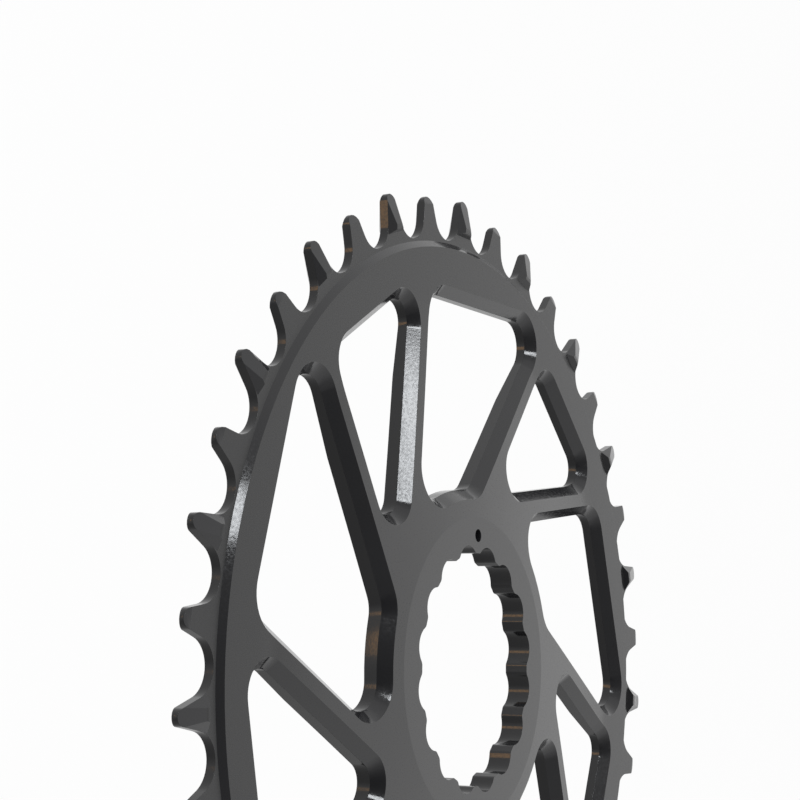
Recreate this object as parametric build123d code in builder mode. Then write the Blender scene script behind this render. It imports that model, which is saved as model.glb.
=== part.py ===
from build123d import *
import os
from math import cos, pi, radians, sin, sqrt

# Lengths are in millimetres and angles in degrees. The ring lies on the back of its rim, which is
# height 0, with its axis along +Z, its front face up and a wide tooth on +Y. Turns are clockwise,
# seen from the front.

# Teeth, wide and narrow in turn, for a bicycle chain
chain_pitch = 12.7
tooth_pairs = 19
tooth_plane = 1.75  # height of the middle of the teeth
tooth_thickness = 1.5
seat_radius = 4.25  # hollow for a chain roller
seat_depth = 3.9  # bottom of the hollow below the pitch circle
flank_angle = 14.0
tip_flats = 7
narrow_rise = 3.2  # tip above the pitch circle
narrow_bevel = 1.3  # length of the bevel at the tip
narrow_tip_thickness = 0.7
wide_rise = 4.05
wide_tip_thickness = 1.0
boss_height = 0.95  # wide tooth's cheeks above the tooth faces
boss_drop = 1.8  # inner end of the cheeks below the pitch circle
boss_ramp = 0.6
boss_land = 0.8
boss_side_run = 1.35

# Scalloped bore and the index hole beside it
lobe_count = 16
bore_radius = 19.4
lobe_radius = 3.4
lobe_depth = 1.45
crest_round = 1.0
index_inset = 3.0  # middle of the hole from the crests of the bore
index_diameter = 2.2
index_depth = 2.0

# Body: a flat hub, a shallow cone and a flat rim
hub_height = 5.8  # front of the hub
hub_thickness = 4.1
hub_front_land = 6.1  # flat band on the front, from the crests of the bore
hub_back_land = 4.1
hub_wall = 10.8  # edge of the hub in the windows, from the crests of the bore
rim_drop = 1.5  # front edge of the rim below the roller hollows
rim_thickness = 3.35
rim_bevel = 1.05
rim_front_land = 11.8
rim_sweep = 40.0  # the cone's rounding into the flat front of the rim
rim_back_land = 20.0  # flat ring on the back that the part lies on

# Arms: each is a fork of two spokes that leave the hub at one point and lean clockwise. The first
# fork lines up with a wide tooth, a crest of the bore and the index hole.
arm_count = 5
fork_radius = 26.0
spoke_width = 5.7
steep_lean = 44.6  # angles between the spokes and the radius through the fork
flat_lean = 82.6
fork_window_corner = 3.6
fork_window_steep_band = 7.67  # width of the rim beside the rounded corner at each spoke's end
fork_window_flat_band = 7.37
arm_window_corner = 4.5
arm_window_flat_band = 8.1
arm_window_steep_band = 4.09
window_bevel = 1.7

tooth_count = 2 * tooth_pairs
pitch_radius = chain_pitch / 2 / sin(pi / tooth_count)
gullet_radius = pitch_radius - seat_depth
narrow_tip = pitch_radius + narrow_rise
wide_tip = pitch_radius + wide_rise
tooth_front = tooth_plane + tooth_thickness / 2
tooth_back = tooth_plane - tooth_thickness / 2
rim_radius = gullet_radius - rim_drop
root_radius = rim_radius - rim_bevel  # where a tooth is joined inside the rim
hub_back = hub_height - hub_thickness


def turned(radius, turn):
    """Point at a radius, turned clockwise from +Y."""
    return Vector(radius * sin(radians(turn)), radius * cos(radians(turn)))


def seat_point():
    """Where the roller hollow of a tooth on +Y runs into its straight flank."""
    middle = turned(gullet_radius + seat_radius, 180 / tooth_count)
    return middle - turned(seat_radius, 90 - flank_angle)


def tooth_outline(tip_radius):
    """Outline of a tooth on +Y with half a roller hollow on each side and a round tip cut in flats."""
    half_step = 180 / tooth_count
    foot = seat_point()
    flank = radians(flank_angle)
    tip_round = (foot.X * cos(flank) - (tip_radius - foot.Y) * sin(flank)) / (1 - sin(flank))
    tip_middle = Vector(0, tip_radius - tip_round)
    flat_turn = 2 * (90 - flank_angle) / tip_flats
    tip = [tip_middle + turned(tip_round, 90 - flank_angle - flat_turn * i) for i in range(tip_flats + 1)]
    with BuildSketch() as outline:
        with BuildLine():
            seat = CenterArc(
                turned(gullet_radius + seat_radius, half_step), seat_radius, 180 + flank_angle,
                90 - flank_angle - half_step,
            )
            other_seat = mirror(seat, about=Plane.YZ)
            Polyline(seat @ 0, *tip, other_seat @ 0)
            root = [turned(root_radius, half_step), turned(root_radius, -half_step)]
            Polyline(seat @ 1, *root, other_seat @ 1)
        make_face()
    return outline.sketch


def tooth_section(*outline):
    """Section through the faces of a tooth: points of radius and height above the tooth plane, out to
    where the faces meet, and their mirror image."""
    side = Plane(origin=(-chain_pitch / 2, 0, tooth_plane), x_dir=(0, 1, 0), z_dir=(1, 0, 0))
    with BuildSketch(side) as section:
        with BuildLine():
            Polyline((root_radius, 0), *outline)
            mirror(about=Plane.XZ)
        make_face()
    return section.sketch


def faces_meet(foot, tip_radius, tip_thickness):
    """Point beyond a tip where the slopes of both tooth faces meet, each from its foot."""
    height = foot[1]
    return (foot[0] + (tip_radius - foot[0]) * height / (height - tip_thickness / 2), 0)


def spoke_side(arm, lean, hand, inset=0):
    """One side of a spoke, or a line inset from it into the window: hand is 1 on the spoke's clockwise
    side and -1 on the other."""
    start = turned(fork_radius, arm) + turned(spoke_width / 2 + inset, arm + lean + 90) * hand
    return Axis(start, turned(1, arm + lean))


def corner_middle(line, radius):
    """Point where a line out of the hub reaches a radius."""
    start, way = line.position, line.direction
    along = start.dot(way)
    return start + way * (sqrt(along**2 - start.dot(start) + radius**2) - along)


def window_triangle(first_spoke, first_band, second_spoke, second_band, corner):
    """Corners of a window between two spokes, each given by its arm and lean, and a straight outer side
    that keeps a band from the rim's edge at both of its rounded ends."""
    first_side = spoke_side(*first_spoke, 1)
    second_side = spoke_side(*second_spoke, -1)
    first_end = corner_middle(spoke_side(*first_spoke, 1, corner), rim_radius - first_band - corner)
    second_end = corner_middle(spoke_side(*second_spoke, -1, corner), rim_radius - second_band - corner)
    way = (second_end - first_end).normalized()
    outer_side = Axis(first_end + way.rotate(Axis.Z, 90) * corner, way)
    return [
        first_side.intersect(second_side),
        second_side.intersect(outer_side),
        outer_side.intersect(first_side),
    ]


# Window inside a fork
with BuildSketch() as fork_window:
    with BuildLine():
        Polyline(
            *window_triangle(
                (0, steep_lean),
                fork_window_steep_band,
                (0, flat_lean),
                fork_window_flat_band,
                fork_window_corner,
            ),
            close=True,
        )
    make_face()
    fillet(fork_window.vertices(), fork_window_corner)

# Window between two forks, with the hub's round edge on its inner side
with BuildSketch() as arm_window:
    with BuildLine():
        Polyline(
            *window_triangle(
                (0, flat_lean),
                arm_window_flat_band,
                (360 / arm_count, steep_lean),
                arm_window_steep_band,
                arm_window_corner,
            ),
            close=True,
        )
    make_face()
    Circle(bore_radius + hub_wall, mode=Mode.SUBTRACT)
    fillet(arm_window.vertices(), arm_window_corner)

# Narrow tooth, bevelled on both faces of its tip
narrow_foot = (narrow_tip - narrow_bevel, tooth_thickness / 2)
with BuildPart() as narrow_tooth:
    with BuildSketch(Plane.XY.offset(tooth_plane)):
        add(tooth_outline(narrow_tip))
    extrude(amount=tooth_thickness / 2, both=True)
    add(
        tooth_section(
            (root_radius, tooth_thickness / 2),
            narrow_foot,
            faces_meet(narrow_foot, narrow_tip, narrow_tip_thickness),
        )
    )
    extrude(amount=chain_pitch, dir=(1, 0, 0), mode=Mode.INTERSECT)

# What the slopes beside a wide tooth's cheeks take away
flank = radians(flank_angle)
flank_foot = seat_point()
with BuildPart() as cheek_sides:
    with BuildSketch(
        Plane(
            origin=(flank_foot.X, flank_foot.Y, tooth_plane),
            x_dir=(cos(flank), sin(flank), 0),
            z_dir=(-sin(flank), cos(flank), 0),
        )
    ):
        with BuildLine():
            Polyline(
                (0, tooth_thickness / 2),
                (-2 * boss_side_run, tooth_thickness / 2 + 2 * boss_height),
                (seat_radius, tooth_thickness / 2 + 2 * boss_height),
                (seat_radius, tooth_thickness / 2),
                close=True,
            )
        make_face()
    extrude(amount=seat_depth + wide_rise, both=True)
    mirror(about=Plane.YZ)
    mirror(about=Plane.XY.offset(tooth_plane))

# Wide tooth, with a cheek on each face that fills the gap between a chain's outer links
cheek_radius = pitch_radius - boss_drop
wide_foot = (cheek_radius + boss_land, tooth_thickness / 2 + boss_height)
with BuildPart() as wide_tooth:
    with BuildSketch(Plane.XY.offset(tooth_plane)):
        add(tooth_outline(wide_tip))
    extrude(amount=tooth_thickness / 2 + boss_height, both=True)
    add(
        tooth_section(
            (root_radius, tooth_thickness / 2),
            (cheek_radius - boss_ramp, tooth_thickness / 2),
            (cheek_radius, tooth_thickness / 2 + boss_height),
            wide_foot,
            faces_meet(wide_foot, wide_tip, wide_tip_thickness),
        )
    )
    extrude(amount=chain_pitch, dir=(1, 0, 0), mode=Mode.INTERSECT)
    add(cheek_sides.part, mode=Mode.SUBTRACT)

# The ring: cone, hub and rim turned in one, then the windows with bevelled front edges, the bore and
# the teeth
with BuildPart() as chainring:
    with BuildSketch(Plane.XZ):
        hub_edge = (bore_radius + hub_front_land, hub_height)
        land_edge = (rim_radius - rim_front_land, rim_thickness)
        rim_edge = (rim_radius, rim_thickness)
        with BuildLine():
            FilletPolyline(hub_edge, land_edge, rim_edge, radius=rim_sweep)
            Polyline(
                rim_edge,
                (rim_radius + rim_bevel, tooth_front),
                (rim_radius + rim_bevel, tooth_back),
                (rim_radius, 0),
                (rim_radius - rim_back_land, 0),
                (bore_radius + hub_back_land, hub_back),
                (0, hub_back),
                (0, hub_height),
                hub_edge,
            )
        make_face()
    revolve(axis=Axis.Z)

    with BuildSketch():
        with PolarLocations(0, arm_count):
            add(fork_window.sketch)
            add(arm_window.sketch)
    extrude(amount=hub_height, mode=Mode.SUBTRACT)
    cut_faces = chainring.faces(Select.LAST)
    level_faces = chainring.faces().filter_by(Axis.Z)
    walls = cut_faces.filter_by(GeomType.PLANE) + cut_faces.filter_by(GeomType.CYLINDER) - level_faces
    wall_edges = walls.edges().filter_by(Axis.Z, reverse=True)
    chamfer(wall_edges.filter_by_position(Axis.Z, tooth_front, hub_height), window_bevel)

    with BuildSketch(Plane.XY.offset(hub_height)) as bore:
        Circle(bore_radius)
        lobe_middle = bore_radius + lobe_depth - lobe_radius
        with PolarLocations(lobe_middle, lobe_count, start_angle=180 / lobe_count):
            Circle(lobe_radius)
        fillet(bore.vertices(), crest_round)
    extrude(amount=-hub_height, mode=Mode.SUBTRACT)
    with Locations((0, bore_radius + index_inset, hub_height)):
        Hole(index_diameter / 2, index_depth)

    with PolarLocations(0, tooth_pairs):
        add(wide_tooth.part)
    with PolarLocations(0, tooth_pairs, start_angle=180 / tooth_pairs):
        add(narrow_tooth.part)

chainring.part.label = "chainring"
os.makedirs("parts", exist_ok=True)
export_step(chainring.part, "parts/chainring.step")
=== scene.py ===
import bmesh
import bpy
from mathutils import Matrix, Vector


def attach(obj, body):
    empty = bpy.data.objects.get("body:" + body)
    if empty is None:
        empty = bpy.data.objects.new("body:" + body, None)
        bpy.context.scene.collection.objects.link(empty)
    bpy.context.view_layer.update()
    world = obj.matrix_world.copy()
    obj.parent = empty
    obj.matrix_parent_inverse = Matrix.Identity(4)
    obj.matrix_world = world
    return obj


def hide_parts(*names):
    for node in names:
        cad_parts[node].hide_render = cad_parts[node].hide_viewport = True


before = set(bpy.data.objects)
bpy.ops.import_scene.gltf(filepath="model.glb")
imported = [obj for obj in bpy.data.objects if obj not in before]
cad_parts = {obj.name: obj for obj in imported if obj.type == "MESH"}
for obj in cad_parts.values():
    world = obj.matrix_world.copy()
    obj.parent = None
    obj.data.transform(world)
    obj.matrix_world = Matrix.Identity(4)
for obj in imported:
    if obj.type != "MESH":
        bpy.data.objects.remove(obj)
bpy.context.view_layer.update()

# Chainring body: one plate of aluminium alloy, turned and milled, with hub, spokes, rim and teeth all
# in one. Every sharp edge is broken by hand before the ring is blasted and anodised, so a fine round
# runs along each of them, while the shallow crease around the hub's flat stays a crisp line.
SAME_POINT = 2e-6  # metres
SAME_PLANE = 0.004  # radians
SHARP_ANGLE = 0.42
EDGE_BREAK = 0.0001
NEARLY_LEVEL = 0.99  # upward part of a face's normal
CREASE_ANGLE = 0.045


def add_object(name, data):
    """Object in the scene that shows a mesh, a lamp or a camera."""
    thing = bpy.data.objects.new(name, data)
    bpy.context.scene.collection.objects.link(thing)
    return thing


ring_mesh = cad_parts["chainring"].data.copy()
ring_mesh.name = "chainring_body"
ring_mesh.materials.clear()
shape = bmesh.new()
shape.from_mesh(ring_mesh)
bmesh.ops.remove_doubles(shape, verts=shape.verts, dist=SAME_POINT)
bmesh.ops.dissolve_limit(shape, angle_limit=SAME_PLANE, verts=shape.verts, edges=shape.edges)
sharp = [edge for edge in shape.edges if edge.is_manifold and edge.calc_face_angle(0) > SHARP_ANGLE]
bmesh.ops.bevel(
    shape,
    geom=sharp,
    offset=EDGE_BREAK,
    offset_type="OFFSET",
    segments=2,
    profile=0.5,
    affect="EDGES",
    clamp_overlap=True,
)
for face in shape.faces:
    face.smooth = True
for edge in shape.edges:
    in_flats = edge.is_manifold and all(abs(face.normal.z) > NEARLY_LEVEL for face in edge.link_faces)
    edge.smooth = not (in_flats and edge.calc_face_angle(0) > CREASE_ANGLE)
shape.to_mesh(ring_mesh)
shape.free()
ring = add_object("chainring_body", ring_mesh)
flats = ring.modifiers.new("flats_stay_flat", "WEIGHTED_NORMAL")
flats.weight = 100
flats.keep_sharp = True
ring.data = bpy.data.meshes.new_from_object(ring.evaluated_get(bpy.context.evaluated_depsgraph_get()))
ring.modifiers.remove(flats)
bpy.data.meshes.remove(ring_mesh)

# Black anodising: a clear, hard oxide skin dyed black. Blasting leaves a fine even grain under it, the
# skin scatters a little unevenly, and the dye takes a touch lighter in places.
OXIDE_IOR = 1.45
DEEP_DYE = (0.8, 0.8, 0.9)  # shares of the finish's shade
THIN_DYE = (1.2, 1.2, 1.3)
GRAIN_LOW, GRAIN_HIGH = 0.35, 0.65  # heights in the grain where it is smoothest and roughest

grain = bpy.data.node_groups.new("anodised_grain", "ShaderNodeTree")
for name, kind in (("Vector", "NodeSocketVector"), ("Grain per metre", "NodeSocketFloat")):
    grain.interface.new_socket(name, in_out="INPUT", socket_type=kind)
for name in ("Height", "Cloud"):
    grain.interface.new_socket(name, in_out="OUTPUT", socket_type="NodeSocketFloat")
grain_in = grain.nodes.new("NodeGroupInput")
grain_out = grain.nodes.new("NodeGroupOutput")
pits = grain.nodes.new("ShaderNodeTexNoise")
pits.inputs["Detail"].default_value = 2.0
pits.inputs["Roughness"].default_value = 0.6
clouds = grain.nodes.new("ShaderNodeTexNoise")
clouds.inputs["Scale"].default_value = 90.0
clouds.inputs["Detail"].default_value = 3.0
grain.links.new(grain_in.outputs["Vector"], pits.inputs["Vector"])
grain.links.new(grain_in.outputs["Grain per metre"], pits.inputs["Scale"])
grain.links.new(grain_in.outputs["Vector"], clouds.inputs["Vector"])
grain.links.new(pits.outputs["Fac"], grain_out.inputs["Height"])
grain.links.new(clouds.outputs["Fac"], grain_out.inputs["Cloud"])


def map_range(tree, value, low, high, at_low, at_high):
    """Output that runs from at_low to at_high as a value runs from low to high, and stays level beyond."""
    node = tree.nodes.new("ShaderNodeMapRange")
    node.inputs["From Min"].default_value = low
    node.inputs["From Max"].default_value = high
    node.inputs["To Min"].default_value = at_low
    node.inputs["To Max"].default_value = at_high
    tree.links.new(value, node.inputs["Value"])
    return node.outputs["Result"]


def anodised(name, shade, smooth, rough, grain_size, grain_depth):
    """Black anodised aluminium of a shade, smooth to rough over a grain of a size and depth in metres."""
    finish = bpy.data.materials.new(name)
    finish.use_nodes = True
    nodes, links = finish.node_tree.nodes, finish.node_tree.links
    skin = nodes["Principled BSDF"]
    skin.inputs["IOR"].default_value = OXIDE_IOR
    place = nodes.new("ShaderNodeTexCoord")
    blasted = nodes.new("ShaderNodeGroup")
    blasted.node_tree = grain
    blasted.inputs["Grain per metre"].default_value = 1 / grain_size
    links.new(place.outputs["Object"], blasted.inputs["Vector"])
    dye = nodes.new("ShaderNodeMix")
    dye.data_type = "RGBA"
    dye.inputs["A"].default_value = [share * shade for share in DEEP_DYE] + [1]
    dye.inputs["B"].default_value = [share * shade for share in THIN_DYE] + [1]
    links.new(blasted.outputs["Cloud"], dye.inputs["Factor"])
    links.new(dye.outputs["Result"], skin.inputs["Base Color"])
    height = blasted.outputs["Height"]
    scatter = map_range(finish.node_tree, height, GRAIN_LOW, GRAIN_HIGH, smooth, rough)
    links.new(scatter, skin.inputs["Roughness"])
    bump = nodes.new("ShaderNodeBump")
    bump.inputs["Strength"].default_value = 1.0
    bump.inputs["Distance"].default_value = grain_depth
    links.new(height, bump.inputs["Height"])
    links.new(bump.outputs["Normal"], skin.inputs["Normal"])
    return finish


# Front and back: turned and blasted, so satin. The skin is a touch glossier on the hub and the spokes
# than on the rim.
GLOSS = 0.28
GLOSS_FADES_AT, GLOSS_ENDS_AT = 0.046, 0.064  # metres from the ring's axis

satin = anodised(
    "satin_face", shade=0.007, smooth=0.27, rough=0.33, grain_size=0.0002, grain_depth=0.000007
)
nodes, links = satin.node_tree.nodes, satin.node_tree.links
place = nodes.new("ShaderNodeTexCoord")
flat = nodes.new("ShaderNodeVectorMath")
flat.operation = "MULTIPLY"
flat.inputs[1].default_value = (1, 1, 0)
links.new(place.outputs["Object"], flat.inputs[0])
radius = nodes.new("ShaderNodeVectorMath")
radius.operation = "LENGTH"
links.new(flat.outputs["Vector"], radius.inputs[0])
sealed = map_range(satin.node_tree, radius.outputs["Value"], GLOSS_FADES_AT, GLOSS_ENDS_AT, GLOSS, 0.0)
skin = nodes["Principled BSDF"]
skin.inputs["Coat IOR"].default_value = OXIDE_IOR
skin.inputs["Coat Roughness"].default_value = 0.28
links.new(sealed, skin.inputs["Coat Weight"])

# Walls, bevels and the sides of the teeth: milled after turning, so smoother, with the cutter's coarser
# marks left in them. Their shade is set lighter than the faces' as painted light that lifts them.
TURNED = 0.985  # upward or downward part of the normal of a turned face

# shade 0.016 against the faces' 0.007 is partly painted light on the walls, bevels and tooth sides
milled = anodised(
    "milled_edge_painted_light", shade=0.016, smooth=0.07, rough=0.17, grain_size=0.0004, grain_depth=0.000005
)
ring.data.materials.append(satin)
ring.data.materials.append(milled)
for face in ring.data.polygons:
    face.material_index = 0 if abs(face.normal.z) > TURNED else 1
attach(ring, "root")
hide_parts("chainring")

# Floor: a plain white sheet, well below the ring, so that the ring's shadow on it is wide and faint. Its
# reflection in the metal falls off towards one side.
DROP = 0.25
REACH = 6.0
GLOW_SHARE = 0.9
DIM_SIDE, BRIGHT_SIDE = -0.15, 0.064  # metres along Y
DIM, WHITE = 0.5, 1.0


def combine(tree, operation, first, second):
    """Output of a maths node that takes two other outputs."""
    node = tree.nodes.new("ShaderNodeMath")
    node.operation = operation
    tree.links.new(first, node.inputs[0])
    tree.links.new(second, node.inputs[1])
    return node.outputs[0]


floor_mesh = bpy.data.meshes.new("floor")
floor_mesh.from_pydata(
    [(-REACH, -REACH, 0), (REACH, -REACH, 0), (REACH, REACH, 0), (-REACH, REACH, 0)], [], [(0, 1, 2, 3)]
)
floor = add_object("floor", floor_mesh)
floor.location.z = -DROP
paper = bpy.data.materials.new("white_paper")
paper.use_nodes = True
nodes, links = paper.node_tree.nodes, paper.node_tree.links
nodes.remove(nodes["Principled BSDF"])
matt = nodes.new("ShaderNodeBsdfDiffuse")
matt.inputs["Color"].default_value = (0.95, 0.95, 0.95, 1)
glow = nodes.new("ShaderNodeEmission")
rays = nodes.new("ShaderNodeLightPath")
place = nodes.new("ShaderNodeTexCoord")
axes = nodes.new("ShaderNodeSeparateXYZ")
links.new(place.outputs["Object"], axes.inputs[0])
fall = map_range(paper.node_tree, axes.outputs["Y"], DIM_SIDE, BRIGHT_SIDE, DIM, WHITE)
mirrored = combine(paper.node_tree, "MULTIPLY", rays.outputs["Is Glossy Ray"], fall)
plain = combine(
    paper.node_tree, "MAXIMUM", rays.outputs["Is Camera Ray"], rays.outputs["Is Transmission Ray"]
)
links.new(combine(paper.node_tree, "MAXIMUM", plain, mirrored), glow.inputs["Strength"])
both = nodes.new("ShaderNodeMixShader")
both.inputs[0].default_value = GLOW_SHARE
links.new(matt.outputs[0], both.inputs[1])
links.new(glow.outputs[0], both.inputs[2])
links.new(both.outputs[0], nodes["Material Output"].inputs["Surface"])
floor_mesh.materials.append(paper)

# Light: an even white room that is dark behind the camera, one small softbox above the near side that
# strikes the bevels, and a faint warm glow from low down on the near side.
DARK_WAY = (-0.683, -0.183, 0.707)
DARK_CORE, DARK_EDGE = 0.985, 0.42  # cosines of angles from the middle of the dark part
DARK, BRIGHT = 0.12, 1.12

room = bpy.data.worlds.new("room")
bpy.context.scene.world = room
room.use_nodes = True
nodes, links = room.node_tree.nodes, room.node_tree.links
sky = nodes["Background"]
sky.inputs["Color"].default_value = (1, 1, 1, 1)
way = nodes.new("ShaderNodeTexCoord")
towards = nodes.new("ShaderNodeVectorMath")
towards.operation = "DOT_PRODUCT"
towards.inputs[1].default_value = DARK_WAY
links.new(way.outputs["Generated"], towards.inputs[0])
level = map_range(room.node_tree, towards.outputs["Value"], DARK_CORE, DARK_EDGE, DARK, BRIGHT)
rays = nodes.new("ShaderNodeLightPath")
seen = nodes.new("ShaderNodeMix")
seen.inputs["B"].default_value = 1.0
links.new(rays.outputs["Is Camera Ray"], seen.inputs["Factor"])
links.new(level, seen.inputs["A"])
links.new(seen.outputs["Result"], sky.inputs["Strength"])


def set_up(thing, place, right, up, back):
    """Stand a lamp or a camera at a place, with its right side, top and back along three directions."""
    turn = Matrix((right, up, back)).transposed()
    thing.matrix_world = Matrix.Translation(place) @ turn.to_4x4()


def add_lamp(name, place, side, width, height, watts, colour):
    """Lamp that faces the middle of the ring from a place, with its width along a side."""
    lamp = bpy.data.lights.new(name, "AREA")
    lamp.shape = "RECTANGLE"
    lamp.size = width
    lamp.size_y = height
    lamp.energy = watts
    lamp.color = colour
    back = Vector(place).normalized()
    up = back.cross(Vector(side)).normalized()
    set_up(add_object(name, lamp), place, up.cross(back), up, back)


add_lamp(
    "softbox",
    place=(-0.407, 0.441, 0.801),
    side=(0.182, -0.03, 0.097),
    width=0.24,
    height=0.16,
    watts=2.4,
    colour=(0.94, 0.97, 1),
)
add_lamp(
    "warm_glow",
    place=(-0.454, 0.122, -0.245),
    side=(0, 1, 0),
    width=0.12,
    height=0.07,
    watts=0.07,
    colour=(1, 0.52, 0.16),
)

# Camera: low over the near side of the ring and rolled, as a portrait of the ring standing on edge.
view = bpy.data.cameras.new("camera")
view.sensor_width = 36
view.lens = 85.396
view.shift_x = 0.00113
view.shift_y = -0.01895
view.clip_start = 0.01
camera = add_object("camera", view)
right = Vector((0.48637, 0.0141, 0.87364)).normalized()
back = Vector((-0.86386, -0.14224, 0.48323)).normalized()
set_up(camera, (-0.288768, 0.001685, 0.151474), right, back.cross(right), back)
bpy.context.scene.camera = camera
bpy.context.scene.view_settings.view_transform = "Standard"
